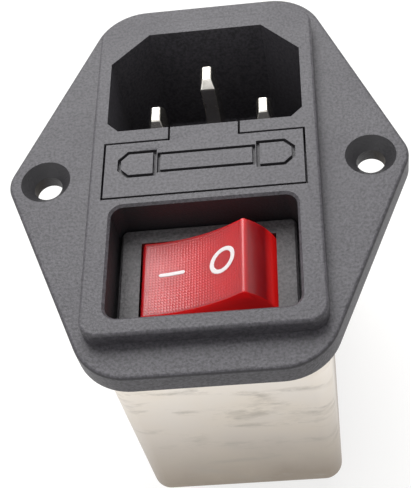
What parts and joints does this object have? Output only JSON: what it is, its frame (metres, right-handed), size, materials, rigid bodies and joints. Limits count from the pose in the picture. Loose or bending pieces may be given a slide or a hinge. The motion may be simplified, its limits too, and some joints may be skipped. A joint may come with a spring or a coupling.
{
  "type": "power entry module",
  "caption": "Panel-mount mains inlet with an illuminated rocker switch, a pull-out fuse drawer and a filter in a metal can, fixed by a pointed screw flange.",
  "frame": {"origin": "midway between the two flange screw holes, on the flange's back (panel) face", "axes": "+X along the two screw holes, +Y towards the inlet end, +Z out of the panel's front"},
  "size_m": [0.0492, 0.0568, 0.0541],
  "materials": {
    "front_moulding": "fine-grained moulded",
    "drawer_moulding": "fine-grained moulded",
    "bezel_moulding": "satin moulded",
    "base_moulding": "satin moulded",
    "rocker_moulding": "translucent, fine-ribbed",
    "nickel_steel": "nickel-plated, slightly smudged",
    "nickel_pin": "nickel-plated",
    "tinned_brass": "tin-plated",
    "spring_bronze": "rolled",
    "contact_silver": "satin",
    "spring_steel": "drawn",
    "fuse_glass": "clear",
    "fuse_wire": "drawn",
    "lamp_glass": "clear",
    "lead_wire": "tinned",
    "resistor_body": "lacquered",
    "bleeder_body": "lacquered",
    "board": "resin laminate",
    "ferrite": "sintered",
    "enamel_copper": "enamelled",
    "x_cap_case": "moulded",
    "y_cap_body": "lacquered",
    "insulator": "moulded",
    "lead_brown": "extruded sleeve",
    "lead_blue": "extruded sleeve"
  },
  "bodies": {
    "module": {"front_housing": "front_moulding", "metal_can": "nickel_steel", "line_pin": "nickel_pin", "neutral_pin": "nickel_pin", "earth_pin": "nickel_pin", "line_fuse_clip": "spring_bronze", "load_fuse_clip": "spring_bronze", "switch_frame": "bezel_moulding", "switch_base": "base_moulding", "common_blade": "tinned_brass", "load_blade": "tinned_brass", "lamp_blade": "tinned_brass", "fixed_contact": "contact_silver", "neon_bulb": "lamp_glass", "lamp_lead": "lead_wire", "lamp_resistor": "resistor_body", "terminal_insulator": "insulator", "line_tab": "tinned_brass", "neutral_tab": "tinned_brass", "earth_tab": "tinned_brass", "earth_rivet": "nickel_pin", "earth_strap": "tinned_brass", "filter_board": "board", "choke_core": "ferrite", "choke_winding_line": "enamel_copper", "choke_winding_neutral": "enamel_copper", "x_capacitor": "x_cap_case", "y_capacitor_line": "y_cap_body", "y_capacitor_neutral": "y_cap_body", "bleeder_resistor": "bleeder_body", "line_lead": "lead_brown", "fused_lead": "lead_brown", "switched_lead": "lead_brown", "lamp_return_lead": "lead_blue", "neutral_lead": "lead_blue"},
    "drawer": {"fuse_drawer": "drawer_moulding", "active_fuse_tube": "fuse_glass", "active_fuse_caps": "nickel_pin", "active_fuse_wire": "fuse_wire", "spare_fuse_tube": "fuse_glass", "spare_fuse_caps": "nickel_pin", "spare_fuse_wire": "fuse_wire"},
    "rocker": {"rocker": "rocker_moulding", "plunger": "base_moulding", "plunger_spring": "spring_steel"},
    "lever": {"contact_lever": "spring_bronze", "moving_contact": "contact_silver"}
  },
  "joints": [
    {"name": "drawer_slide", "type": "slide", "parent": "module", "child": "drawer", "axis": [0, 0, 1], "range_m": [0, 0.016]},
    {"name": "rocker_hinge", "type": "hinge", "parent": "module", "child": "rocker", "pos_m": [0, -0.01408, -0.0026], "axis": [0, 1, 0], "range_deg": [0, 34.2]},
    {"name": "lever_hinge", "type": "hinge", "parent": "module", "child": "lever", "pos_m": [0, -0.01408, -0.0112], "axis": [0, 1, 0], "range_deg": [-16, 0]}
  ],
  "couplings": [
    {"joint": "lever_hinge", "follows": "rocker_hinge", "ratio": -0.4678}
  ]
}
